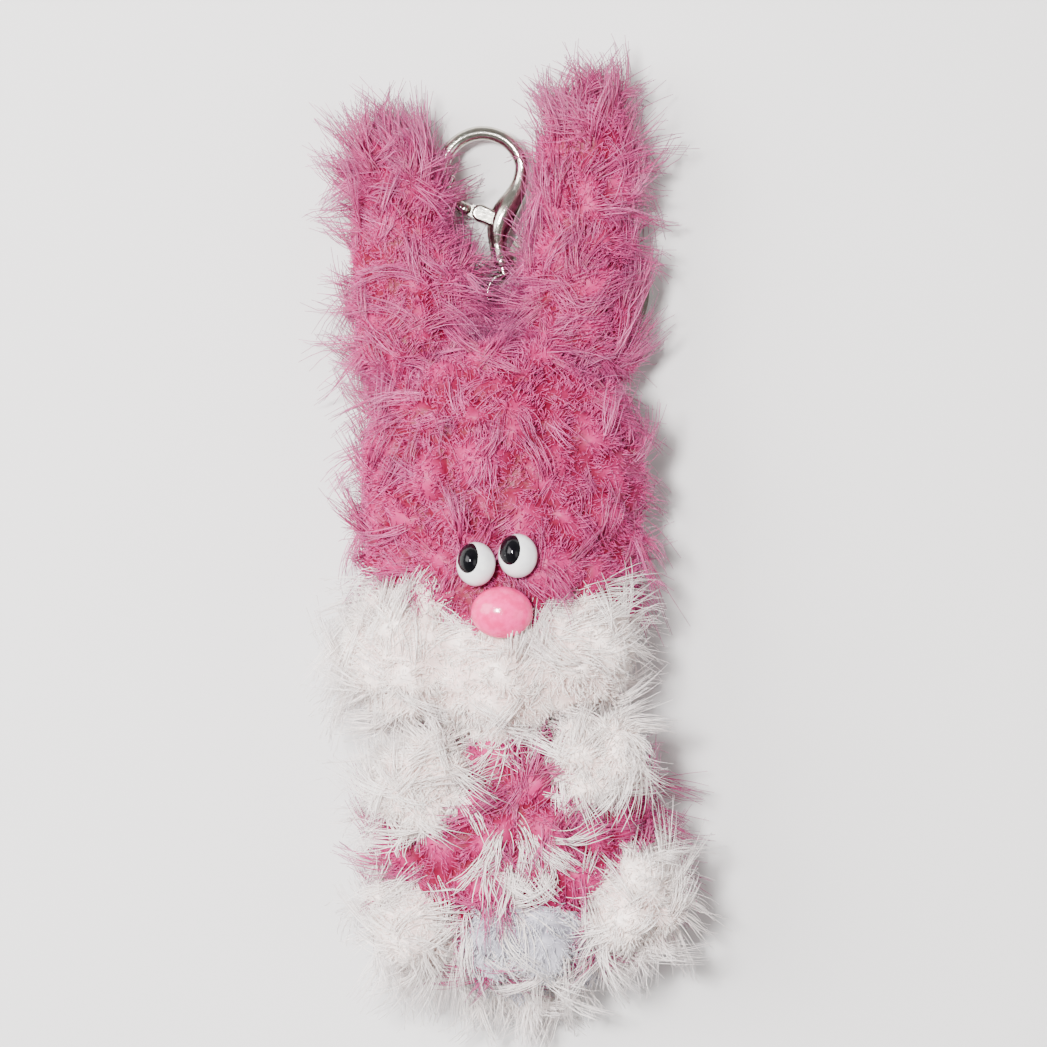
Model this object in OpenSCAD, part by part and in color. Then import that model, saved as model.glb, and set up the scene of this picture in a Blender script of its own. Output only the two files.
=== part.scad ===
// Crocheted rabbit keychain lying on its back, ears up the +Y axis, face up +Z.
// The back of the head and of the body rest on the plane z = 0.

/* [Head and body] */
// Half width of the head
head_rx = 23; // [21:0.5:24]
// Half length of the head's round lower end
head_ry = 23; // [22:0.5:23]
// Half depth of the head before its back is flattened
head_rz = 18; // [17:0.5:18]
// How far the head's crown lies above its lower end, centre to centre
crown_up = 18; // [16:0.5:18]
// Half width of the body
body_rx = 24; // [22:0.5:26]
// Half length of the body
body_ry = 23.5; // [22:0.5:25]
// Half depth of the body before its back is flattened
body_rz = 17.5; // [16.5:0.5:18]
// Thickness of the crocheted fabric
cover_t = 2.6; // [1.8:0.1:3.2]

/* [Ears] */
// Half width of an ear at its root
ear_root_rx = 7; // [6:0.5:7]
// Half thickness of an ear at its root
ear_root_rz = 6.8; // [6:0.2:6.8]
// Distance from the left ear's root to the centre of its tip
left_ear_len = 27.5; // [24:0.5:30]
// Distance from the right ear's root to the centre of its tip
right_ear_len = 32.5; // [28:0.5:35]
// Outward lean of the left ear in degrees
left_ear_lean = 13.5; // [12:0.5:16]
// Outward lean of the right ear in degrees
right_ear_lean = 1.5; // [0:0.5:4]

/* [Face] */
// Width of an oval eye
eye_w = 6.2; // [5:0.1:6.4]
// Height of an oval eye
eye_h = 7; // [6:0.1:7.2]
// Width of the nose
nose_w = 9.8; // [8:0.1:11]
// Height of the nose
nose_h = 8.2; // [7:0.1:8.4]
// Radius of the threaded shank behind an eye or the nose
shank_r = 1.6; // [1.4:0.1:1.8]

/* [Key ring] */
// Outside diameter of the flat split ring
ring_od = 25; // [24:0.5:25]
// Radial width of the flat wire
ring_band = 2.3; // [2:0.1:2.3]
// Thickness of the two turns together
ring_t = 1.8; // [1.6:0.1:1.8]
// Slope of the ring, which leans on the hanging loop, in degrees
ring_slope = 3.5; // [3:0.5:4]

/* [Swivel clasp] */
// Mean radius of the hook
hook_r = 6.6; // [6:0.1:6.6]
// Radius of the hook's round section
hook_wire_r = 1.15; // [1:0.05:1.2]
// Mean radius of the swivel eye
eyelet_r = 3.4; // [3.3:0.05:3.5]
// Radius of the swivel eye's wire
eyelet_wire_r = 0.65; // [0.55:0.05:0.65]
// Radius of the swivel post
post_r = 0.85; // [0.8:0.05:0.9]
// Radius of the trigger's pin
pin_r = 0.5; // [0.45:0.05:0.5]

/* [Hanging loop] */
// Radius of the yarn cord
cord_r = 0.7; // [0.6:0.05:0.75]
// Radius of the loop's round end
loop_r = 3.6; // [3.6:0.1:3.8]

/* [Hidden] */
$fn = 48;
hull_fn = 28;
tongue_fn = 20;
puff_fn = 24;
head_fn = 32;
gap = 0.15;              // space between two soft pieces of one body
skin_gap = 0.2;          // space between a cover and its stuffing
run_gap = 0.06;          // radial clearance of a running fit
big = 400;

head_c = [0, -10, 17];
crown_c = head_c + [0, crown_up, -0.5];
body_c = [2.6, -49.6, 16.5];
head_r = [head_rx, head_ry, head_rz];
crown_r = head_r - [1.5, 3, 1];
body_r = [body_rx, body_ry, body_rz];
cover = [cover_t, cover_t, cover_t];
skin = [skin_gap, skin_gap, skin_gap];
seam = [gap, gap, gap];

// Centre and half sizes of each lobe of the white muzzle
muzzle_lobes = [
    [[-13.5, -19.5, 21], [12.5, 12.5, 16]],
    [[13, -18.5, 21], [12, 12.5, 16]],
    [[0, -21.5, 25], [12, 12.5, 14.2]]
];
left_paw_c = [-12.3, -40.2, 27.5];
left_paw_r = [9.4, 8.8, 8.4];
right_paw_c = [14.8, -37, 28];
right_paw_r = [8.8, 8.2, 8.2];
left_foot_c = [-13, -62.6, 21];
left_foot_r = [9, 9, 9.5];
right_foot_c = [20, -59, 21.5];
right_foot_r = [10, 9.8, 10.2];
tail_c = [4, -69.5, 9.2];
tail_r = [12, 7, 9.6];

ear_root_y = 32.4;
ear_z = 11.4;
left_ear_root = [-12.2, ear_root_y, ear_z];
right_ear_root = [13.6, ear_root_y, ear_z];
ear_mid_r = [7.2, 7, 6.6];
left_tip_r = [6.3, 6.8, 6];
right_tip_r = [7.6, 7.6, 6.4];

left_eye_at = [-3.7, -5.3, 35.15];
right_eye_at = [2.9, -4, 35.15];
nose_at = [0.4, -12.9, 35.3];
eye_dome = 3.2;
pupil_r = [2.2, 2.9, 3.55];
pupil_off = [-0.75, 0.5, 0];
nose_dome = 3.4;
shank_len = 6;
washer_r = 3.1;
washer_t = 1.1;
washer_z = 29.9;         // just under the cover's inner face

loop_x = 3.1;
loop_near_y = 24;
loop_far_y = 34.6;
loop_z = cord_r + 0.2 + loop_r;

ring_c = [12, 39.7, 2.3];
ring_ri = ring_od / 2 - ring_band;
slot_t = 0.14;           // space between the two turns
turn_bridge = 30;        // angle over which the turns are one

clasp_at = [1.3, 38.7, 5.9];
clasp_tilt = 11.9;       // the clasp's axis leans to -X
hook_v = 20.3;           // from the swivel eye's centre to the hook's centre
collar_v = 4.45;         // start of the clasp's body
bead = 0.12;             // how much a bar's ball end is larger than the bar
// Half outline of the neck: radius and place along the clasp's axis
neck_profile = [
    [0, collar_v], [1.75, collar_v], [1.75, 6.1], [1.5, 6.7], [1.5, 8.2], [1.85, 10.4], [1.8, 12.2], [0, 13.8]
];
arm_at = [1.2, 13.4, 0];
arm_r = 1.9;
post_head_r = 1.1;
post_head_t = 0.6;
post_head_v = 6.4;
hook_from = -105;
hook_to = 166;
pivot_a = 255;
pivot_at = [hook_r * cos(pivot_a), hook_v + hook_r * sin(pivot_a)];
lug_r = 1.7;
lug_t = 3.2;
fork_slot = 1.5;
knuckle_t = 0.7;
knuckle_w = -0.3;        // the knuckle's mid plane, below the spring
gate_from = 194;
gate_to = 231;
gate_r = 1;
gate_foot = [hook_r * cos(gate_to), hook_v + hook_r * sin(gate_to)];
tongue_tip = [-5.1, 0.18]; // from the hook's centre, just inside the hook's end
tongue_r = 0.6;
tab_a = 208;
tab_r = 0.95;
spring_r = 0.86;
spring_wire_r = 0.16;
spring_w = 0.36;
spring_leg = 0.8;

pink = [0.84, 0.45, 0.63];
rose = [0.78, 0.36, 0.55];
cream = [0.96, 0.94, 0.92];
wadding = [0.98, 0.98, 0.98];
nickel = [0.74, 0.73, 0.7];
steel = [0.6, 0.6, 0.62];
bubblegum = [1, 0.45, 0.72];
black = [0.05, 0.05, 0.06];
clear_white = [0.9, 0.9, 0.88];

// ---- helpers ----

// A ball with its own half size along each axis
module ball(c, r, fn = 48) { translate(c) scale(r) sphere(r = 1, $fn = fn); }

// Everything above the plane that the toy lies on
module above_floor() {
    intersection() {
        children();
        translate([-big / 2, -big / 2, 0]) cube(big);
    }
}

// A round bar bent to an arc in the XY plane, between two angles
module bent_bar(mean_r, bar_r, from_a, to_a) {
    rotate([0, 0, from_a]) rotate_extrude(angle = to_a - from_a)
        translate([mean_r, 0]) circle(r = bar_r);
}

// Places its children in the clasp's own frame: v along its axis, w up
module in_clasp() { translate(clasp_at) rotate([0, 0, clasp_tilt]) children(); }

// ---- soft pieces ----

// The head's outline, from its round lower end to its crown
module head_form(grow = [0, 0, 0]) {
    hull() {
        ball(head_c, head_r + grow, head_fn);
        ball(crown_c, crown_r + grow, head_fn);
    }
}

// The space inside the body's cover, shut off by the fabric round the head
module body_hollow(inset) difference() {
    intersection() {
        ball(body_c, body_r - cover - inset);
        translate([-big / 2, -big / 2, cover_t + inset[2]]) cube(big);
    }
    ball(head_c, head_r + cover + inset);
}

module body_cover() color(pink) difference() {
    above_floor() ball(body_c, body_r);
    ball(head_c, head_r + seam);
    body_hollow([0, 0, 0]);
}

module body_stuffing() color(wadding) body_hollow(skin);

// The three shanks, each a straight way through the cover
module shank_ways(r, len) {
    for (p = [left_eye_at, right_eye_at, nose_at])
        translate([p[0], p[1], p[2] - len]) cylinder(r = r, h = len + 4);
}

module head_hollow(inset) {
    intersection() {
        head_form(-cover - inset);
        translate([-big / 2, -big / 2, cover_t + inset[2]]) cube(big);
    }
}

module head_cover() color(pink) difference() {
    above_floor() head_form();
    head_hollow([0, 0, 0]);
    shank_ways(shank_r + run_gap, shank_len);
}

module head_stuffing() color(wadding) difference() {
    head_hollow(skin);
    // one pocket for the shanks and washers of the eyes and the nose
    translate([-9, -17, washer_z - 3]) cube([18, 19, big / 4]);
}

// A ball of flat facets, grown a little where it is cut away from a neighbour
module soft_ball(c, r) { hull() ball(c, r, puff_fn); }

module muzzle_cover() color(cream) difference() {
    for (lobe = muzzle_lobes) soft_ball(lobe[0], lobe[1]);
    soft_ball(head_c, head_r + 3 * seam);
    soft_ball(body_c, body_r + 3 * seam);
    soft_ball(left_paw_c, left_paw_r + 2 * seam);
    soft_ball(right_paw_c, right_paw_r + 2 * seam);
    soft_ball([nose_at[0], nose_at[1], nose_at[2] + 0.6], [nose_w / 2 + 1, nose_h / 2 + 1, 3.3]);
    translate([nose_at[0], nose_at[1], 0]) cylinder(r = shank_r + 2 * gap, h = big / 4, $fn = puff_fn);
}

// A paw: a puff of white yarn sewn to the body, under the head
module paw(c, r) color(cream) difference() {
    ball(c, r);
    ball(body_c, body_r + seam);
    ball(head_c, head_r + seam);
}

// A foot: a puff of white yarn sewn to the body
module foot(c, r) color(cream) difference() {
    soft_ball(c, r);
    soft_ball(body_c, body_r + 3 * seam);
}

module left_paw() paw(left_paw_c, left_paw_r);
module right_paw() paw(right_paw_c, right_paw_r);
module left_foot() foot(left_foot_c, left_foot_r);
module right_foot() foot(right_foot_c, right_foot_r);

module tail() color(cream) above_floor() difference() {
    ball(tail_c, tail_r);
    ball(body_c, body_r + seam);
    ball(left_foot_c, left_foot_r + seam);
    ball(right_foot_c, right_foot_r + seam);
}

// An ear from its root, which is round about the hinge line, to its tip
module ear(root, lean, len, tip_r) color(pink)
    translate(root) rotate([0, 0, lean]) hull() {
        scale([ear_root_rx, ear_root_rz, ear_root_rz]) sphere(r = 1, $fn = hull_fn);
        translate([0, len * 0.55, 0]) scale(ear_mid_r) sphere(r = 1, $fn = hull_fn);
        translate([0, len, 0]) scale(tip_r) sphere(r = 1, $fn = hull_fn);
    }

module left_ear() ear(left_ear_root, left_ear_lean, left_ear_len, left_tip_r);
module right_ear() ear(right_ear_root, -right_ear_lean, right_ear_len, right_tip_r);

// Yarn cord loop, sewn through the back of the head, in the YZ plane
module hanging_loop() color(rose) translate([loop_x, 0, loop_z]) rotate([0, 90, 0]) {
    translate([0, loop_far_y, 0]) bent_bar(loop_r, cord_r, 0, 180);
    translate([0, loop_near_y, 0]) bent_bar(loop_r, cord_r, 180, 360);
    for (side = [-1, 1]) translate([side * loop_r, loop_near_y, 0])
        rotate([-90, 0, 0]) cylinder(r = cord_r, h = loop_far_y - loop_near_y);
}

// ---- face ----

// An oval dome with a flat back at z = 0
module oval_dome(w, h, dome) {
    intersection() {
        scale([w / 2, h / 2, dome]) sphere(r = 1);
        translate([-big / 2, -big / 2, 0]) cube(big);
    }
}

module eye(at) color(clear_white) translate(at) {
    difference() {
        oval_dome(eye_w, eye_h, eye_dome);
        pupil_form(gap / 3);
    }
    translate([0, 0, -shank_len]) cylinder(r = shank_r, h = shank_len);
}

// The pupil sits high in the eye and towards -X, and stands just proud of it
module pupil_form(grow) {
    intersection() {
        translate(pupil_off) scale(pupil_r + [grow, grow, grow]) sphere(r = 1);
        translate([-big / 2, -big / 2, 1 - grow]) cube(big);
    }
}

module pupil(at) color(black) translate(at) pupil_form(0);

// A push-on washer, gripped by the shank
module washer(at) color(clear_white) translate([at[0], at[1], washer_z]) difference() {
    cylinder(r = washer_r, h = washer_t);
    translate([0, 0, -1]) cylinder(r = shank_r + 0.02, h = washer_t + 2);
}

module left_eye() eye(left_eye_at);
module right_eye() eye(right_eye_at);
module left_pupil() pupil(left_eye_at);
module right_pupil() pupil(right_eye_at);
module left_eye_washer() washer(left_eye_at);
module right_eye_washer() washer(right_eye_at);

// The nose is a broad button, its lower half sunk in the muzzle
module nose() color(bubblegum) translate(nose_at) {
    oval_dome(nose_w, nose_h, nose_dome);
    translate([0, 0, -shank_len]) cylinder(r = shank_r, h = shank_len);
}

module nose_washer() washer(nose_at);

// ---- hardware ----

// Flat split ring: two turns of flat wire, joined over a short angle
module key_ring() color(nickel) translate(ring_c) rotate([0, ring_slope, 0]) difference() {
    rotate_extrude() translate([ring_ri, -ring_t / 2]) square([ring_band, ring_t]);
    rotate([0, 0, turn_bridge / 2]) rotate_extrude(angle = 360 - turn_bridge)
        translate([ring_ri - 1, -slot_t / 2]) square([ring_band + 2, slot_t]);
    for (end = [0, 1]) rotate([0, 0, (1 - 2 * end) * turn_bridge / 2])
        translate([ring_ri - 1, -slot_t, end * -ring_t]) cube([ring_band + 2, 2 * slot_t, ring_t]);
}

// Eye and headed post of the swivel, in one piece
module swivel_eye() color(nickel) in_clasp() {
    bent_bar(eyelet_r, eyelet_wire_r, 0, 360);
    rotate([-90, 0, 0]) {
        translate([0, 0, eyelet_r]) cylinder(r = post_r, h = post_head_v - eyelet_r);
        translate([0, 0, post_head_v]) cylinder(r = post_head_r, h = post_head_t);
    }
}

// Half outline of the room in the clasp's body for the headed post
module swivel_room() {
    translate([-1, collar_v - 1]) square([1 + post_r + run_gap, post_head_v - collar_v + 1]);
    translate([-1, post_head_v - run_gap])
        square([1 + post_head_r + run_gap, post_head_t + 2 * run_gap]);
}

// Hook, arm and neck of the clasp, cast in one piece with the trigger's fork
module clasp_body() color(nickel) in_clasp() difference() {
    union() {
        translate([0, hook_v, 0]) {
            bent_bar(hook_r, hook_wire_r, hook_from, hook_to);
            rotate([0, 0, hook_to]) translate([hook_r, 0, 0]) sphere(r = hook_wire_r + bead);
        }
        rotate([-90, 0, 0]) rotate_extrude() difference() {
            polygon(neck_profile);
            swivel_room();
        }
        soft_ball(arm_at, [arm_r, arm_r, arm_r]);
        translate([pivot_at[0], pivot_at[1], -lug_t / 2]) cylinder(r = lug_r, h = lug_t);
    }
    // the fork's slot, open towards the hook's mouth and the gate
    translate([pivot_at[0], pivot_at[1], -fork_slot / 2]) for (a = [75, 150])
        rotate([0, 0, a]) translate([-lug_r, -lug_r, 0]) cube([3 * lug_r, 2 * lug_r, fork_slot]);
    translate([pivot_at[0], pivot_at[1], -lug_t]) cylinder(r = pin_r, h = 2 * lug_t);
}

// Curved gate with its knuckle, thumb tab and tongue
module clasp_trigger() color(nickel) in_clasp() difference() {
    union() {
        translate([0, hook_v, 0]) {
            bent_bar(hook_r, gate_r, gate_from, gate_to);
            for (a = [gate_from, gate_to])
                rotate([0, 0, a]) translate([hook_r, 0, 0]) sphere(r = gate_r + bead);
            rotate([0, 0, tab_a]) translate([hook_r + gate_r, 0, 0]) sphere(r = tab_r);
            // the tongue that shuts against the inside of the hook's end
            hull() for (p = [tongue_tip, [hook_r * cos(gate_from), hook_r * sin(gate_from)]])
                translate([p[0], p[1], 0]) sphere(r = tongue_r, $fn = tongue_fn);
        }
        hull() for (p = [[pivot_at, lug_r - 0.5], [gate_foot, gate_r * 0.7]])
            translate([p[0][0], p[0][1], knuckle_w - knuckle_t / 2])
                cylinder(r = p[1], h = knuckle_t, $fn = hull_fn);
    }
    translate([pivot_at[0], pivot_at[1], -lug_t]) cylinder(r = pin_r + run_gap, h = 2 * lug_t);
}

module trigger_pin() color(steel) in_clasp()
    translate([pivot_at[0], pivot_at[1], -lug_t / 2 - 0.1]) cylinder(r = pin_r, h = lug_t + 0.2);

// Torsion coil round the pin, above the knuckle, with its fixed leg
module trigger_spring() color(steel) in_clasp()
    translate([pivot_at[0], pivot_at[1], spring_w]) {
        bent_bar(spring_r, spring_wire_r, 0, 360);
        rotate([0, 0, -20]) translate([spring_r, 0, 0])
            rotate([0, 90, 0]) cylinder(r = spring_wire_r - 0.03, h = spring_leg);
    }

body_cover();
body_stuffing();
head_cover();
head_stuffing();
muzzle_cover();
left_paw();
right_paw();
left_foot();
right_foot();
tail();
left_ear();
right_ear();
left_eye();
left_pupil();
left_eye_washer();
right_eye();
right_pupil();
right_eye_washer();
nose();
nose_washer();
hanging_loop();
key_ring();
swivel_eye();
clasp_body();
clasp_trigger();
trigger_pin();
trigger_spring();
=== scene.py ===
"""A long-eared crocheted rabbit keychain in fluffy yarn, lying on its back.

Each sub-assembly is a class: it makes its skins and its pile, and dresses them.
All sizes are metres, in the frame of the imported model: +Y to the ear tips, +Z out of the face.
"""

from __future__ import annotations

import logging
import math
from dataclasses import dataclass, field, replace
from enum import Enum
from typing import Sequence

import bmesh
import bpy
import numpy as np
from mathutils import Matrix, Vector, kdtree, noise


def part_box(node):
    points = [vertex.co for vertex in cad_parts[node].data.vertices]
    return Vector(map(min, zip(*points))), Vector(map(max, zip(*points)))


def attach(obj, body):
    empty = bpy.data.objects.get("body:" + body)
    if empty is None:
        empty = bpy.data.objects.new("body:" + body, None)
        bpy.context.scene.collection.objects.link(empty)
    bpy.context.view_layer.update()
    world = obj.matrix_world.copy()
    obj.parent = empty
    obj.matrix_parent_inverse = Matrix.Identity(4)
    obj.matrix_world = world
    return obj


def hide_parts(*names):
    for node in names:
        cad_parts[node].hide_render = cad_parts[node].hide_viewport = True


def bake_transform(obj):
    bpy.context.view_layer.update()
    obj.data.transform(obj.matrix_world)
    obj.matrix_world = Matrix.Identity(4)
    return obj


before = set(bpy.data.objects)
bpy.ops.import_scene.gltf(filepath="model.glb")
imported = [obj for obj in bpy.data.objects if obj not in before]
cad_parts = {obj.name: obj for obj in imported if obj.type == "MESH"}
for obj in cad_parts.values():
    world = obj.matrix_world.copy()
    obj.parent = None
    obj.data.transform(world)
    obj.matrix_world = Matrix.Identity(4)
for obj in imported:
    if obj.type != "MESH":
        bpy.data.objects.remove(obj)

LOG = logging.getLogger("rabbit")
Triple = tuple[float, float, float]
Colour = tuple[float, float, float, float]
MM = 0.001
FLOOR_GAP = 0.00012
BUMP_DEPTH = 0.0001


def tone(red: int, green: int, blue: int) -> Colour:
    """Turn a colour in display values into the linear values that shaders use.

    Args:
        red: Display value, 0 to 255.
        green: Display value, 0 to 255.
        blue: Display value, 0 to 255.

    Returns:
        The linear colour with full opacity.
    """
    parts = [c / 255 for c in (red, green, blue)]
    linear = [c / 12.92 if c <= 0.04045 else ((c + 0.055) / 1.055) ** 2.4 for c in parts]
    return (linear[0], linear[1], linear[2], 1.0)


# ---- shader building blocks ----


class NodeSheet:
    """A thin helper round one node tree, for adding and joining nodes."""

    def __init__(self, tree: bpy.types.NodeTree) -> None:
        """Keep the tree that nodes are added to."""
        self.tree = tree

    def add(self, kind: str, **settings: object) -> bpy.types.Node:
        """Add a node and set its own properties.

        Args:
            kind: The node's type name.
            settings: Properties of the node.

        Returns:
            The new node.
        """
        node = self.tree.nodes.new(kind)
        for key, value in settings.items():
            setattr(node, key, value)
        return node

    def join(self, source: bpy.types.NodeSocket, target: bpy.types.NodeSocket) -> None:
        """Link an output to an input."""
        self.tree.links.new(source, target)

    def math(self, operation: str, first: object, second: object = 0.0) -> bpy.types.NodeSocket:
        """Add a Math node over two sockets or numbers and return its value socket."""
        node = self.add("ShaderNodeMath", operation=operation)
        for slot, value in enumerate((first, second)):
            if isinstance(value, (int, float)):
                node.inputs[slot].default_value = value
            else:
                self.join(value, node.inputs[slot])
        return node.outputs[0]

    def blend(self, factor: object, low: object, high: object) -> bpy.types.NodeSocket:
        """Add a colour Mix node over sockets or plain colours and return its colour socket."""
        node = self.add("ShaderNodeMix", data_type="RGBA")
        for slot, value in ((0, factor), (6, low), (7, high)):
            if isinstance(value, (int, float, tuple)):
                node.inputs[slot].default_value = value
            else:
                self.join(value, node.inputs[slot])
        return node.outputs[2]

    def remap(
        self, value: bpy.types.NodeSocket, low: float, high: float, to_low: float, to_high: float
    ) -> bpy.types.NodeSocket:
        """Add a smooth Map Range node and return its result socket."""
        node = self.add("ShaderNodeMapRange", interpolation_type="SMOOTHSTEP")
        for slot, number in ((1, low), (2, high), (3, to_low), (4, to_high)):
            node.inputs[slot].default_value = number
        self.join(value, node.inputs[0])
        return node.outputs[0]

    def bump(self, strength: float, height: bpy.types.NodeSocket, shader: bpy.types.Node) -> None:
        """Raise the surface by a height of up to BUMP_DEPTH."""
        node = self.add("ShaderNodeBump")
        node.inputs["Strength"].default_value = strength
        node.inputs["Distance"].default_value = BUMP_DEPTH
        self.join(height, node.inputs["Height"])
        self.join(node.outputs[0], shader.inputs["Normal"])

    def noise(self, scale: float, detail: float, where: bpy.types.NodeSocket) -> bpy.types.NodeSocket:
        """Add a Noise Texture over the given coordinates and return its value socket."""
        node = self.add("ShaderNodeTexNoise")
        node.inputs["Scale"].default_value = scale
        node.inputs["Detail"].default_value = detail
        self.join(where, node.inputs["Vector"])
        return node.outputs[0]


def shader_group(
    name: str, inputs: Sequence[tuple[str, str, object]], outputs: Sequence[tuple[str, str]]
) -> tuple[bpy.types.NodeTree, NodeSheet, bpy.types.Node, bpy.types.Node]:
    """Start a shader node group with named sockets.

    Args:
        name: The group's name.
        inputs: Name, socket type and default of each input.
        outputs: Name and socket type of each output.

    Returns:
        The group, a sheet over it, its input node and its output node.
    """
    group = bpy.data.node_groups.new(name, "ShaderNodeTree")
    for title, kind, start in inputs:
        socket = group.interface.new_socket(name=title, in_out="INPUT", socket_type=kind)
        socket.default_value = start
    for title, kind in outputs:
        group.interface.new_socket(name=title, in_out="OUTPUT", socket_type=kind)
    sheet = NodeSheet(group)
    return group, sheet, sheet.add("NodeGroupInput"), sheet.add("NodeGroupOutput")


class SharedEffects:
    """The node groups that more than one finish uses, each built once."""

    _made: dict[str, bpy.types.NodeTree] = {}

    @classmethod
    def yarn(cls) -> bpy.types.NodeTree:
        """Yarn colour along a fibre: painted shade at the root and in the skin's crevices, body colour,
        paler at the tip as painted light through the thin tips, with drifts.
        """
        if "yarn" in cls._made:
            return cls._made["yarn"]
        col, num = "NodeSocketColor", "NodeSocketFloat"
        group, s, gin, gout = shader_group(
            "yarn_fibre",
            [
                ("Painted shade", col, (0.3, 0.02, 0.1, 1)), ("Body", col, (0.6, 0.15, 0.3, 1)),
                ("Tip", col, (0.8, 0.5, 0.6, 1)), ("Drift", col, (0.5, 0.3, 0.4, 1)),
                ("Along", num, 0.5), ("Strand", num, 0.5), ("Drift amount", num, 0.3),
                ("Tip amount", num, 0.8),
            ],
            [("Color", col), ("Roughness", num), ("Height", num)],
        )
        where = s.add("ShaderNodeTexCoord").outputs["Object"]
        patch = s.noise(260.0, 3.0, where)
        grain = s.noise(2600.0, 2.0, where)
        shift = s.math("MULTIPLY", s.math("SUBTRACT", patch, 0.5), 0.35)
        along = s.math("ADD", gin.outputs["Along"], shift)
        # Painted shade: the darkest colour sits at the root and in the skin's crevices, where the pile
        # shades itself.
        body = s.blend(s.remap(along, 0.02, 0.5, 0.0, 1.0), gin.outputs["Painted shade"], gin.outputs["Body"])
        # Painted light: the tips turn paler where light passes through and catches the thin fibre ends.
        tips = s.math("MULTIPLY", s.remap(along, 0.5, 1.0, 0.0, 1.0), gin.outputs["Tip amount"])
        tipped = s.blend(tips, body, gin.outputs["Tip"])
        odd = s.remap(gin.outputs["Strand"], 0.55, 0.95, 0.0, 1.0)
        drift = s.math("MULTIPLY", odd, gin.outputs["Drift amount"])
        drifted = s.blend(drift, tipped, gin.outputs["Drift"])
        hsv = s.add("ShaderNodeHueSaturation")
        own = s.math("MULTIPLY", gin.outputs["Strand"], 0.28)
        shade = s.math("ADD", s.math("MULTIPLY", grain, 0.3), own)
        s.join(s.math("ADD", shade, 0.72), hsv.inputs["Value"])
        s.join(drifted, hsv.inputs["Color"])
        s.join(hsv.outputs[0], gout.inputs["Color"])
        uneven = s.math("ADD", grain, gin.outputs["Strand"])
        s.join(s.remap(uneven, 0.4, 1.6, 0.34, 0.62), gout.inputs["Roughness"])
        s.join(grain, gout.inputs["Height"])
        cls._made["yarn"] = group
        return group

    @classmethod
    def handled(cls) -> bpy.types.NodeTree:
        """Fine scuffs and haze of handled hard surfaces, as a roughness, a shade and a height."""
        if "handled" in cls._made:
            return cls._made["handled"]
        num = "NodeSocketFloat"
        group, s, gin, gout = shader_group(
            "handled_surface",
            [("Smoothest", num, 0.08), ("Roughest", num, 0.3), ("Scale", num, 900.0)],
            [("Roughness", num), ("Shade", num), ("Height", num)],
        )
        where = s.add("ShaderNodeTexCoord").outputs["Object"]
        haze = s.add("ShaderNodeTexNoise")
        haze.inputs["Detail"].default_value = 4.0
        s.join(where, haze.inputs["Vector"])
        s.join(gin.outputs["Scale"], haze.inputs["Scale"])
        stretched = s.add("ShaderNodeMapping")
        stretched.inputs["Scale"].default_value = (1.0, 9.0, 3.0)
        stretched.inputs["Rotation"].default_value = (0.3, 0.5, 0.9)
        s.join(where, stretched.inputs["Vector"])
        scuff = s.noise(1500.0, 3.0, stretched.outputs[0])
        worn = s.remap(scuff, 0.56, 0.72, 0.0, 1.0)
        amount = s.math("ADD", s.math("MULTIPLY", haze.outputs[0], 0.6), s.math("MULTIPLY", worn, 0.5))
        span = s.math("SUBTRACT", gin.outputs["Roughest"], gin.outputs["Smoothest"])
        rough = s.math("ADD", gin.outputs["Smoothest"], s.math("MULTIPLY", amount, span))
        s.join(rough, gout.inputs["Roughness"])
        s.join(s.remap(haze.outputs[0], 0.3, 0.7, 0.0, 1.0), gout.inputs["Shade"])
        s.join(s.math("ADD", haze.outputs[0], worn), gout.inputs["Height"])
        cls._made["handled"] = group
        return group


# ---- finishes ----


@dataclass(frozen=True)
class Finish:
    """What a piece is made of. Each kind of finish lays its own nodes."""

    name: str

    def material(self) -> bpy.types.Material:
        """Build the material, or return the one already built.

        Returns:
            The material of this finish.
        """
        known = bpy.data.materials.get(self.name)
        if known:
            return known
        made = bpy.data.materials.new(self.name)
        made.use_nodes = True
        made.diffuse_color = self.lay(NodeSheet(made.node_tree), made.node_tree.nodes["Principled BSDF"])
        return made

    def lay(self, s: NodeSheet, shader: bpy.types.Node) -> Colour:
        """Lay this finish's nodes round the shader and return its plain colour."""
        raise NotImplementedError


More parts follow.
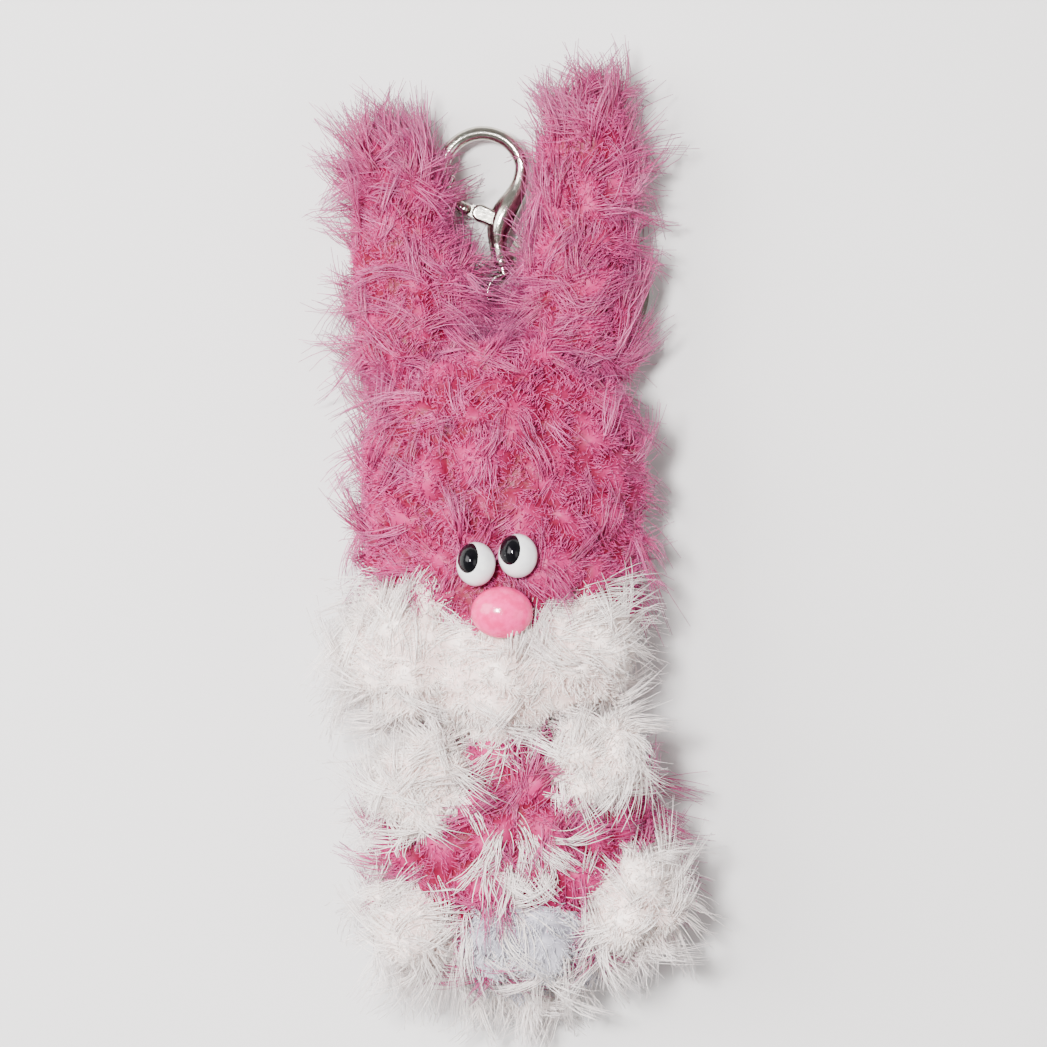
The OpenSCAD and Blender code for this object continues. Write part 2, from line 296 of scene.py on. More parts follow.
@dataclass(frozen=True)
class YarnFinish(Finish):
    """A dyed yarn: its body colour with random drifts, painted shade at its roots and in its skin's
    crevices, and painted light on its paler tips.
    """

    # Painted shade: the colour at the roots and in the skin's crevices.
    painted_shade: Colour
    body: Colour
    # Painted light: the paler colour of the tips.
    tip: Colour
    drift: Colour
    drift_amount: float = 0.35
    tip_amount: float = 0.85
    sheen: float = 0.35
    sheen_roughness: float = 0.4
    specular: float = 0.4
    bump: float = 0.25

    def lay(self, s: NodeSheet, shader: bpy.types.Node) -> Colour:
        """Lay the nodes of this yarn round the shader.

        Args:
            s: The material's node sheet.
            shader: The material's Principled node.

        Returns:
            The yarn's plain colour.
        """
        strand = s.add("ShaderNodeAttribute", attribute_name="strand")
        split = s.add("ShaderNodeSeparateColor")
        s.join(strand.outputs["Color"], split.inputs[0])
        fibre = s.add("ShaderNodeGroup", node_tree=SharedEffects.yarn())
        for title, value in (
            ("Painted shade", self.painted_shade), ("Body", self.body), ("Tip", self.tip), ("Drift", self.drift),
            ("Drift amount", self.drift_amount), ("Tip amount", self.tip_amount),
        ):
            fibre.inputs[title].default_value = value
        s.join(split.outputs[0], fibre.inputs["Along"])
        s.join(split.outputs[1], fibre.inputs["Strand"])
        s.join(fibre.outputs["Color"], shader.inputs["Base Color"])
        s.join(fibre.outputs["Roughness"], shader.inputs["Roughness"])
        s.bump(self.bump, fibre.outputs["Height"], shader)
        shader.inputs["Sheen Weight"].default_value = self.sheen
        shader.inputs["Sheen Roughness"].default_value = self.sheen_roughness
        shader.inputs["Sheen Tint"].default_value = self.tip
        shader.inputs["Specular IOR Level"].default_value = self.specular
        return self.body


@dataclass(frozen=True)
class HardFinish(Finish):
    """A moulded plastic or plated metal."""

    base: Colour
    shade: Colour
    metallic: float = 0.0
    smoothest: float = 0.08
    roughest: float = 0.28
    scale: float = 900.0
    bump: float = 0.08
    coat: float = 0.0
    specular: float = 0.5

    def lay(self, s: NodeSheet, shader: bpy.types.Node) -> Colour:
        """Lay the nodes of this hard finish round the shader.

        Args:
            s: The material's node sheet.
            shader: The material's Principled node.

        Returns:
            The finish's plain colour.
        """
        worn = s.add("ShaderNodeGroup", node_tree=SharedEffects.handled())
        worn.inputs["Smoothest"].default_value = self.smoothest
        worn.inputs["Roughest"].default_value = self.roughest
        worn.inputs["Scale"].default_value = self.scale
        s.join(s.blend(worn.outputs["Shade"], self.base, self.shade), shader.inputs["Base Color"])
        s.join(worn.outputs["Roughness"], shader.inputs["Roughness"])
        s.bump(self.bump, worn.outputs["Height"], shader)
        shader.inputs["Metallic"].default_value = self.metallic
        shader.inputs["Coat Weight"].default_value = self.coat
        shader.inputs["Coat Roughness"].default_value = 0.04
        shader.inputs["Specular IOR Level"].default_value = self.specular
        return self.base


# In each yarn the first colour is painted shade for the roots and crevices, and the third is the paler
# tip, painted light.
PINK_PLUSH = YarnFinish(
    "pink_plush", tone(114, 9, 42), tone(176, 48, 104), tone(208, 94, 150), tone(192, 76, 130),
    sheen=0.12, specular=0.15,
)
PINK_FILAMENT = YarnFinish(
    "pink_filament", tone(134, 18, 64), tone(182, 56, 116), tone(168, 84, 127), tone(222, 122, 174),
    drift_amount=0.6, sheen=0.05, specular=0.7,
)
WHITE_PLUSH = YarnFinish(
    "white_plush", tone(232, 204, 198), tone(255, 240, 233), tone(255, 250, 246), tone(246, 220, 220),
    drift_amount=0.3,
)
WHITE_FILAMENT = YarnFinish(
    "white_filament", tone(228, 212, 208), tone(253, 243, 238), tone(242, 232, 231), tone(255, 252, 249),
    sheen=0.2, specular=1.0,
)
# The tail is white yarn; these greyed tones are painted shade where it lies low between the feet.
SHADED_TAIL_PLUSH = YarnFinish(
    "tail_plush", tone(152, 148, 160), tone(198, 194, 204), tone(236, 238, 244), tone(214, 204, 216),
)
LOOP_YARN = YarnFinish(
    "loop_twist", tone(120, 30, 66), tone(190, 84, 130), tone(226, 160, 190), tone(206, 120, 160),
)
WADDING = YarnFinish(
    "wadding_fluff", tone(206, 206, 210), tone(238, 238, 240), tone(252, 252, 252), tone(230, 230, 236),
)
NICKEL = HardFinish(
    "nickel_plate", tone(206, 202, 192), tone(184, 178, 166), metallic=1.0, smoothest=0.1, roughest=0.3,
)
SPRING_STEEL = HardFinish(
    "spring_wire", tone(186, 186, 190), tone(160, 162, 168), metallic=1.0, smoothest=0.18, roughest=0.38,
)
EYE_WHITE = HardFinish(
    "eye_gloss", tone(238, 238, 236), tone(228, 226, 228), smoothest=0.05, roughest=0.2, coat=0.6,
)
PUPIL_BLACK = HardFinish(
    "pupil_gloss", tone(5, 5, 8), tone(10, 9, 13), smoothest=0.05, roughest=0.14, specular=0.25,
)
NOSE_PINK = HardFinish(
    "nose_gloss", tone(246, 58, 138), tone(226, 36, 112), smoothest=0.1, roughest=0.3, coat=0.15,
)
WASHER_PLASTIC = HardFinish(
    "washer_moulded", tone(226, 226, 220), tone(208, 208, 204), smoothest=0.3, roughest=0.55,
)


# ---- meshes ----


def new_piece(name: str, form: bmesh.types.BMesh) -> bpy.types.Object:
    """Put a bmesh into a new object at the origin.

    Args:
        name: The piece's name.
        form: The finished bmesh, freed here.

    Returns:
        The object, linked to the scene.
    """
    mesh = bpy.data.meshes.new(name)
    form.to_mesh(mesh)
    form.free()
    piece = bpy.data.objects.new(name, mesh)
    bpy.context.scene.collection.objects.link(piece)
    return piece


def apply_modifiers(piece: bpy.types.Object) -> None:
    """Replace a piece's mesh with what its modifiers make of it, and take them off."""
    graph = bpy.context.evaluated_depsgraph_get()
    result = bpy.data.meshes.new_from_object(piece.evaluated_get(graph))
    old = piece.data
    piece.modifiers.clear()
    piece.data = result
    result.name = piece.name
    bpy.data.meshes.remove(old)


def mesh_of(curve: bpy.types.Curve) -> bpy.types.Mesh:
    """Turn a curve into the mesh that it draws, and remove the curve."""
    holder = bpy.data.objects.new(curve.name, curve)
    bpy.context.scene.collection.objects.link(holder)
    graph = bpy.context.evaluated_depsgraph_get()
    mesh = bpy.data.meshes.new_from_object(holder.evaluated_get(graph))
    bpy.data.objects.remove(holder)
    bpy.data.curves.remove(curve)
    return mesh


def places(mesh: bpy.types.Mesh) -> np.ndarray:
    """The mesh's vertices as an array with a row for each."""
    out = np.empty(len(mesh.vertices) * 3)
    mesh.vertices.foreach_get("co", out)
    return out.reshape(-1, 3)


def normals(mesh: bpy.types.Mesh) -> np.ndarray:
    """The mesh's vertex normals as an array with a row for each."""
    out = np.empty(len(mesh.vertices) * 3)
    mesh.vertex_normals.foreach_get("vector", out)
    return out.reshape(-1, 3)


def set_strand(mesh: bpy.types.Mesh, along: np.ndarray, strand: np.ndarray) -> None:
    """Store, on every vertex, how far along its fibre it is and its fibre's own number.

    Args:
        mesh: The mesh to write on.
        along: 0 at the root to 1 at the tip.
        strand: 0 to 1, the same over one fibre.
    """
    data = np.ones((len(along), 4))
    data[:, 0], data[:, 1] = np.clip(along, 0, 1), np.clip(strand, 0, 1)
    layer = mesh.attributes.new("strand", "FLOAT_COLOR", "POINT")
    layer.data.foreach_set("color", data.ravel())


def unit(rows: np.ndarray) -> np.ndarray:
    """Each row scaled to length 1."""
    return rows / np.maximum(np.linalg.norm(rows, axis=-1, keepdims=True), 1e-12)


@dataclass(frozen=True)
class Ball:
    """One rounded mass of a soft form, in millimetres."""

    centre: Triple
    radii: Triple

    def holds(self, points: np.ndarray, margin: float = 0.0) -> np.ndarray:
        """Which of the points, in metres, lie inside the mass grown by a margin in millimetres."""
        reach = (np.array(self.radii) + margin) * MM
        return (((points - np.array(self.centre) * MM) / reach) ** 2).sum(axis=-1) < 1


class Joining(Enum):
    """How the masses of a soft form become one."""

    WRAPPED = "one skin stretched round all of them"
    GATHERED = "masses that keep their own bulge"


@dataclass
class SoftForm:
    """A stuffed piece's own shape under its pile."""

    name: str
    balls: tuple[Ball, ...]
    joining: Joining = Joining.WRAPPED
    inset: float = 1.3
    voxel: float = 1.1
    stitch: float = 8.5
    lump: float = 2.6
    rough: float = 0.6
    swell: float = 0.9

    def skin(self) -> bpy.types.Object:
        """Make the closed, lumpy skin that the pile grows from.

        Returns:
            The skin, with its crevices marked for the painted shade of its yarn.
        """
        form = bmesh.new()
        for ball in self.balls:
            made = bmesh.ops.create_icosphere(form, subdivisions=4, radius=1.0)["verts"]
            reach = [(r - self.inset) * MM for r in ball.radii]
            bmesh.ops.transform(
                form, verts=made,
                matrix=Matrix.Translation(Vector(ball.centre) * MM) @ Matrix.Diagonal((*reach, 1.0)),
            )
        if self.joining is Joining.WRAPPED and len(self.balls) > 1:
            bmesh.ops.convex_hull(form, input=form.verts[:])
            loose = [v for v in form.verts if not v.link_faces]
            bmesh.ops.delete(form, geom=loose, context="VERTS")
        piece = new_piece(self.name, form)
        self._one_skin(piece)
        self._swell(piece)
        self._lumps(piece)
        return piece

    def _one_skin(self, piece: bpy.types.Object) -> None:
        """Remesh the masses to one even skin and smooth it."""
        remesh = piece.modifiers.new("skin", "REMESH")
        remesh.mode, remesh.voxel_size = "VOXEL", self.voxel * MM
        smooth = piece.modifiers.new("relax", "SMOOTH")
        smooth.factor, smooth.iterations = 0.5, 6
        apply_modifiers(piece)

    def _stitches(self, at: np.ndarray) -> np.ndarray:
        """How far each point is from the nearest pulled-in stitch.

        Args:
            at: The points.

        Returns:
            0 in a stitch to 1 on top of a puff, with some unevenness.
        """
        height = np.empty(len(at))
        for i, p in enumerate(at):
            spot = Vector(p / (self.stitch * MM))
            near = noise.voronoi(spot + Vector((3.7, 1.3, 9.1)))[0]
            uneven = noise.fractal(spot * 4.0, 1.0, 2.0, 3) * self.rough / 2
            height[i] = min(1.0, (near[1] - near[0]) * 1.6) + uneven
        return height

    def _swell(self, piece: bpy.types.Object) -> None:
        """Blow the cover up with the cloth solver, held where its stitches pull it in."""
        mesh = piece.data
        before = places(mesh)
        held = piece.vertex_groups.new(name="held")
        for i, height in enumerate(self._stitches(before)):
            held.add([i], max(0.0, 0.9 - 1.6 * float(height)), "REPLACE")
        cloth = piece.modifiers.new("filling", "CLOTH")
        cloth.settings.vertex_group_mass = held.name
        cloth.settings.use_pressure = True
        cloth.settings.uniform_pressure_force = 4.0
        cloth.settings.effector_weights.gravity = 0.0
        cloth.settings.mass = 0.0003
        cloth.settings.tension_stiffness = cloth.settings.compression_stiffness = 0.7
        cloth.settings.shear_stiffness = 0.4
        cloth.settings.bending_stiffness = 0.02
        cloth.point_cache.frame_start, cloth.point_cache.frame_end = 1, 20
        for step in range(1, 21):
            bpy.context.scene.frame_set(step)
        apply_modifiers(piece)
        bpy.context.scene.frame_set(1)
        move = places(piece.data) - before
        size = np.linalg.norm(move, axis=1, keepdims=True)
        move *= np.minimum(1.0, self.swell * MM / np.maximum(size, 1e-9))
        piece.data.vertices.foreach_set("co", (before + move).ravel())
        piece.data.update()
        LOG.info("%s swells %.2f mm", self.name, float(size.max()) / MM)

    def _lumps(self, piece: bpy.types.Object) -> None:
        """Push out a puff for every stitch, press in between them, and flatten the skin where it rests."""
        mesh = piece.data
        at, out = places(mesh), normals(mesh)
        height = self._stitches(at)
        at = at + out * ((height - 0.55) * self.lump * MM)[:, None]
        at[:, 2] = np.maximum(at[:, 2], 0.0004)
        mesh.vertices.foreach_set("co", at.ravel())
        mesh.update()
        mesh.shade_smooth()
        # The crevices between puffs get the yarn's painted shade colour; the puff tops keep the body
        # colour.
        set_strand(mesh, np.clip(height * 0.55, 0, 0.6), np.full(len(at), 0.4))


# ---- pile ----


@dataclass(frozen=True)
class Pile:
    """One kind of fibre on a soft piece. Lengths and thicknesses are millimetres."""

    count: int
    length: tuple[float, float]
    thickness: float
    steps: int
    lift: float
    lay: float
    spread: float
    tuft: int
    bunched: float = 0.0
    gather: float = 0.0
    droop: float = 0.2
    curl: float = 0.1
    tip_scale: float = 0.3

    def times(self, share: float) -> "Pile":
        """The same pile with its count scaled."""
        return replace(self, count=max(1, int(self.count * share)))


PLUSH = Pile(
    count=15000, length=(1.3, 2.7), thickness=0.24, steps=1, lift=0.9, lay=0.6, spread=0.5,
    tuft=14, gather=0.15, droop=0.03, curl=0.05, tip_scale=0.35,
)
FILAMENT = Pile(
    count=3600, length=(7.0, 13.0), thickness=0.17, steps=5, lift=0.42, lay=1.0, spread=0.11,
    tuft=15, bunched=0.7, gather=0.1, droop=0.45, curl=0.16, tip_scale=0.5,
)

class Room:
    """The space that fibres may take: above the floor, in the box, and off the face's hard pieces."""

    WISPS = 0.03

    LOW = np.array([-0.0372, -0.0895, FLOOR_GAP])
    HIGH = np.array([0.0410, 0.0860, 0.0480])

    def __init__(self, clear_nodes: Sequence[str]) -> None:
        """Note the boxes of the pieces that stay uncovered."""
        self.clear = [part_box(n) for n in clear_nodes]

    def inside(self, paths: np.ndarray) -> np.ndarray:
        """Press the paths into the box and up from the floor."""
        return np.clip(paths, self.LOW, self.HIGH)

    def free(self, paths: np.ndarray, rng: np.random.Generator) -> np.ndarray:
        """Which fibres keep off the eyes and the nose, but for a few wisps."""
        fine = np.ones(len(paths), bool)
        dense = np.concatenate([paths, (paths[:, 1:] + paths[:, :-1]) / 2], axis=1)
        for low, high in self.clear:
            mid = (np.array(low) + np.array(high)) / 2
            half = (np.array(high) - np.array(low)) / 2 * 0.87
            flat = (((dense[..., :2] - mid[:2]) / half[:2]) ** 2).sum(axis=-1) < 1
            over = (flat & (dense[..., 2] > high[2] - 0.006)).any(axis=1)
            fine &= ~over | (rng.random(len(paths)) < self.WISPS)
        return fine


class Grower:
    """Grows piles on skins and turns them into meshes of thin closed fibres."""

    batch = 400
    spare = 1.7  # tried roots for each wanted one
    near_tries = 24000  # tried roots for tufts that stand at one spot
    under = -0.75  # skin that looks down more than this carries a thin pile
    under_share = 0.35
    covered = -1.5  # how deep under another mass, in mm, a root is left out
    sunk = 0.4  # how deep a root is sunk in the skin, in mm

    def __init__(self, room: Room) -> None:
        """Keep the space and one three-sided outline that every fibre is swept with."""
        self.room = room
        outline = bpy.data.curves.new("fibre_outline", "CURVE")
        ring = outline.splines.new("POLY")
        ring.points.add(2)
        for i, point in enumerate(ring.points):
            a = -math.tau * i / 3
            point.co = (math.cos(a), math.sin(a), 0.0, 1.0)
        ring.use_cyclic_u = True
        self.outline = bpy.data.objects.new("fibre_outline", outline)

    def surface(
        self, skin: bpy.types.Object, count: int, rng: np.random.Generator
    ) -> tuple[np.ndarray, np.ndarray]:
        """Spread points evenly over a skin.

        Args:
            skin: The skin's object.
            count: How many points.
            rng: The random source.

        Returns:
            The points and the skin's normals there.
        """
        mesh = skin.data
        mesh.calc_loop_triangles()
        tri = np.empty(len(mesh.loop_triangles) * 3, int)
        mesh.loop_triangles.foreach_get("vertices", tri)
        tri = tri.reshape(-1, 3)
        at, out = places(mesh), normals(mesh)
        a, b, c = at[tri[:, 0]], at[tri[:, 1]], at[tri[:, 2]]
        area = np.linalg.norm(np.cross(b - a, c - a), axis=1)
        pick = rng.choice(len(tri), count, p=area / area.sum())
        u, v = rng.random(count), rng.random(count)
        over = u + v > 1
        u[over], v[over] = 1 - u[over], 1 - v[over]
        w = np.stack([1 - u - v, u, v], axis=1)[:, :, None]
        return (at[tri[pick]] * w).sum(axis=1), unit((out[tri[pick]] * w).sum(axis=1))

    def grow(
        self, name: str, skin: bpy.types.Object, pile: Pile, seed: int, hidden: Sequence[Ball] = (),
        comb: Triple = (0.0, 0.0, 0.0), near: tuple[Triple, float] | None = None,
    ) -> bpy.types.Object:
        """Grow one pile over a skin.

        Args:
            name: The new piece's name.
            skin: The skin that the fibres stand on.
            pile: The kind of fibre.
            seed: The random seed.
            hidden: Masses that cover the skin, where no fibre is rooted.
            comb: A direction that the whole pile leans in.
            near: A spot and a reach in millimetres that the roots stay within.

        Returns:
            The pile as one object of closed fibres.
        """
        rng = np.random.default_rng(seed)
        root, out = self.surface(skin, self.near_tries if near else int(pile.count * self.spare), rng)
        good = np.ones(len(root), bool)
        for ball in hidden:
            good &= ~ball.holds(root, self.covered)
        good &= (out[:, 2] > self.under) | (rng.random(len(root)) < self.under_share)
        if near is not None:
            good &= np.linalg.norm(root - np.array(near[0]) * MM, axis=1) < near[1] * MM
        root, out = root[good][: pile.count], out[good][: pile.count]
        heads = rng.choice(len(root), max(2, len(root) // pile.tuft), replace=False)
        if pile.bunched:
            mine = np.arange(len(root)) % len(heads)
            drift = rng.normal(size=(len(root), 3)) * pile.bunched * MM
            out = out[heads][mine]
            root = root[heads][mine] + drift - out * (drift * out).sum(axis=1, keepdims=True)
        else:
            tree = kdtree.KDTree(len(heads))
            for i, p in enumerate(root[heads]):
                tree.insert(Vector(p), i)
            tree.balance()
            mine = np.array([tree.find(Vector(p))[1] for p in root])
        paths, strand = self._paths(root, out, mine, pile, comb, rng)
        free = self.room.free(paths, rng)
        return self.sweep(name, paths[free], strand[free], pile)

    def _paths(
        self, root: np.ndarray, out: np.ndarray, mine: np.ndarray, pile: Pile, comb: Triple,
        rng: np.random.Generator,
    ) -> tuple[np.ndarray, np.ndarray]:
        """Lay every fibre's path: its tuft's own lean, its lift, its droop and its curl.

        Args:
            root: Where each fibre stands.
            out: The skin's normal there.
            mine: Which tuft each fibre belongs to.
            pile: The kind of fibre.
            comb: A direction that the whole pile leans in.
            rng: The random source.

        Returns:
            The points of each fibre, and each fibre's own number.
        """
        count, tufts = len(root), int(mine.max()) + 1
        lean = unit(rng.normal(size=(tufts, 3)))[mine] + np.array(comb)
        lean = unit(lean - out * (lean * out).sum(axis=1, keepdims=True))
        tuft_len = rng.uniform(0.7, 1.15, tufts)[mine]
        length = rng.uniform(*pile.length, count) * tuft_len * MM
        lift = pile.lift * rng.uniform(0.5, 1.5, tufts)[mine]
        aim = unit(out * lift[:, None] + lean * pile.lay + rng.normal(size=(count, 3)) * pile.spread)
        side = unit(np.cross(aim, out) + rng.normal(size=(count, 3)) * 0.05)
        bend = rng.normal(size=tufts)[mine] * pile.curl * 2
        step = np.linspace(0, 1, pile.steps + 1)[None, :, None]
        beats = rng.uniform(0.8, 2.2, (count, 1, 1))
        wave = np.sin(step * math.pi * beats + rng.uniform(0, 6, (count, 1, 1)))
        fall = np.array([0.0, 0.0, -1.0]) * pile.droop - out * pile.droop * 0.5
        path = (
            aim[:, None] * step
            + fall[:, None] * step**2
            + side[:, None] * (bend[:, None, None] * step**2 + wave * pile.curl * step * 0.35)
        )
        paths = root[:, None] - out[:, None] * (self.sunk * MM) + path * length[:, None, None]
        if pile.gather:
            tip = np.zeros((tufts, 3))
            np.add.at(tip, mine, paths[:, -1])
            tip = tip / np.maximum(np.bincount(mine, minlength=tufts), 1)[:, None]
            paths = paths + (tip[mine] - paths[:, -1])[:, None] * pile.gather * step**1.5
        return self.room.inside(paths), rng.random(count) * 0.6 + rng.random(tufts)[mine] * 0.4

    def sweep(self, name: str, paths: np.ndarray, strand: np.ndarray, pile: Pile) -> bpy.types.Object:
        """Sweep the outline along every path and close the ends.

        Args:
            name: The new piece's name.
            paths: Points of each fibre.
            strand: Each fibre's own number.
            pile: The kind of fibre, for its thickness.

        Returns:
            The fibres as one mesh object.
        """
        count, points = paths.shape[:2]
        share = np.linspace(0, 1, points)
        taper = pile.thickness / 2 * MM * (1 - (1 - pile.tip_scale) * share**1.6)
        form = bmesh.new()
        scene = bpy.context.scene.collection
        scene.objects.link(self.outline)
        for first in range(0, count, self.batch):
            some = slice(first, first + self.batch)
            mesh = self._swept(name, paths[some], taper)
            along = np.tile(np.repeat(share, 3), len(paths[some]))
            set_strand(mesh, along, np.repeat(strand[some], points * 3))
            form.from_mesh(mesh)
            bpy.data.meshes.remove(mesh)
        scene.objects.unlink(self.outline)
        form.verts.ensure_lookup_table()
        size = points * 3
        for root in range(0, count * size, size):
            form.faces.new([form.verts[root + k] for k in (0, 2, 1)])
            form.faces.new([form.verts[root + size - 3 + k] for k in (0, 1, 2)])
        piece = new_piece(name, form)
        piece.data.shade_smooth()
        return piece

    def _swept(self, name: str, paths: np.ndarray, taper: np.ndarray) -> bpy.types.Mesh:
        """Sweep one batch of fibres, open at both ends.

        Args:
            name: The piece's name.
            paths: Points of each fibre in the batch.
            taper: The outline's size at each point.

        Returns:
            The batch's mesh.
        """
        curve = bpy.data.curves.new(name, "CURVE")
        curve.dimensions = "3D"
        curve.bevel_mode, curve.bevel_object = "OBJECT", self.outline
        rows = np.ones((*paths.shape[:2], 4))
        rows[..., :3] = paths
        for row in rows:
            spline = curve.splines.new("POLY")
            spline.points.add(len(row) - 1)
            spline.points.foreach_set("co", row.ravel())
            spline.points.foreach_set("radius", taper)
        return mesh_of(curve)


def dress(piece: bpy.types.Object, finish: Finish) -> None:
    """Give a new piece its material.

    Args:
        piece: The piece.
        finish: What it is made of.
    """
    piece.data.materials.clear()
    piece.data.materials.append(finish.material())
    LOG.info("%s: %d faces, %s", piece.name, len(piece.data.polygons), finish.name)


def dress_node(node: str, finish: Finish) -> None:
    """Give a carried-over solid its finish."""
    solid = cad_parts[node]
    for place in solid.material_slots:
        place.link = "OBJECT"
        place.material = finish.material()
    LOG.info("%s: %s", node, finish.name)


# ---- the rabbit's masses ----

HEAD_BALLS = (Ball((0, -10, 17), (23, 23, 18)), Ball((0, 8, 16.5), (21.5, 20, 17)))
HEAD_LOOKS = (Ball((0, -10, 17), (23, 23, 18)), Ball((0.4, 11, 16.5), (24, 21.5, 17)))
BODY_BALLS = (Ball((2.6, -49.6, 16.5), (24, 23.5, 17.5)),)
MUZZLE_BALLS = (
    Ball((-13.5, -19.5, 21), (12.5, 12.5, 16)),
    Ball((13, -18.5, 21), (12, 12.5, 16)),
    Ball((0, -21.5, 25), (12, 12.5, 14.2)),
)
MUZZLE_LOOKS = (
    Ball((-13.5, -18.8, 21), (13.2, 13.4, 16.4)),
    Ball((10.8, -19, 21), (11.6, 12.3, 16)),
    Ball((-0.5, -23, 25), (12.5, 11.8, 14)),
)
LEFT_PAW = (Ball((-12.3, -40.2, 27.5), (9.4, 8.8, 8.4)),)
RIGHT_PAW = (Ball((14.8, -37, 28), (8.8, 8.2, 8.2)),)
LEFT_FOOT = (Ball((-13, -62.6, 21), (9, 9, 9.5)),)
RIGHT_FOOT = (Ball((20, -59, 21.5), (10, 9.8, 10.2)),)
TAIL = (Ball((4, -69.5, 9.2), (12, 7, 9.6)), Ball((3.5, -62.3, 19), (14, 10, 13.3)))


@dataclass
class Plushed:
    """A stuffed piece: a skin, a plush pile and loose filaments on it."""

    form: SoftForm
    nodes: tuple[str, ...]
    body: str
    plush: YarnFinish
    filament: YarnFinish
    slot: str
    plush_pile: Pile
    filament_pile: Pile
    hidden: tuple[Ball, ...] = ()
    comb: Triple = (0.0, 0.0, 0.0)
    seed: int = 1
    fill: float = 0.6
    pieces: list[bpy.types.Object] = field(default_factory=list)

    def build(self, grower: Grower) -> None:
        """Make the skin and both piles, and hang them on the body."""
        skin = self.form.skin()
        piles = [
            (skin, self.plush),
            (
                grower.grow(
                    f"{self.form.name}_plush", skin, self.plush_pile, self.seed, self.hidden,
                    self.comb,
                ),
                self.plush,
            ),
            (
                grower.grow(
                    f"{self.form.name}_filaments", skin, self.filament_pile, self.seed + 50, self.hidden,
                    self.comb,
                ),
                self.filament,
            ),
        ]
        for piece, finish in piles:
            dress(piece, finish)
            self.attach(piece)
            self.pieces.append(piece)
        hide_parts(*self.nodes)

    def attach(self, piece: bpy.types.Object) -> None:
        """Let the piece ride on its body."""
        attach(piece, self.body)


@dataclass
class Filling:
    """The wadding inside a cover, seen only where the cover is open."""

    form: SoftForm
    node: str

    def build(self) -> None:
        """Make one lumpy mass of wadding well inside the cover."""
        mass = self.form.skin()
        dress(mass, WADDING)
        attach(mass, "plush")
        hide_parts(self.node)


@dataclass
class Ear(Plushed):
    """A long stuffed ear, sewn to the head at its root."""

    root_low: Triple = (0.0, 0.0, 0.0)
    root_high: Triple = (0.0, 0.0, 0.0)

    def attach(self, piece: bpy.types.Object) -> None:
        """Bake the piece's placement into its mesh; it is not hung on a body."""
        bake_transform(piece)


LEFT_EAR = (
    Ball((-13.6, 30.5, 12), (11.2, 10.5, 9.8)), Ball((-15.6, 42.5, 11.8), (9.8, 11, 7.8)),
    Ball((-17.3, 58.5, 11.4), (7.6, 7.8, 6.6)),
)
RIGHT_EAR = (
    Ball((12, 30, 12), (10.8, 9.5, 9.6)), Ball((12.4, 42.5, 11.8), (7.6, 9, 7.4)),
    Ball((13.6, 54, 11.6), (8.4, 8, 7)),
    Ball((14.4, 64.5, 11.4), (8.4, 8.4, 6.8)),
)


@dataclass(frozen=True)
class Accent:
    """Loose filaments that stand out at one spot of a soft piece."""

    name: str
    on: str
    spot: Triple
    reach: float
    comb: Triple
    count: int
    length: tuple[float, float]
    finish: YarnFinish
    slot: str
    seed: int
    lift: float = 0.6
    crossing: bool = False

    def build(self, grower: Grower, owner: Plushed) -> None:
        """Grow the tufts on their owner's skin and attach them as it is attached."""
        pile = replace(FILAMENT, count=self.count, length=self.length, lift=self.lift, tuft=12, droop=0.2)
        piece = grower.grow(
            self.name, owner.pieces[0], pile, self.seed, comb=self.comb, near=(self.spot, self.reach)
        )
        dress(piece, self.finish)
        owner.attach(piece)


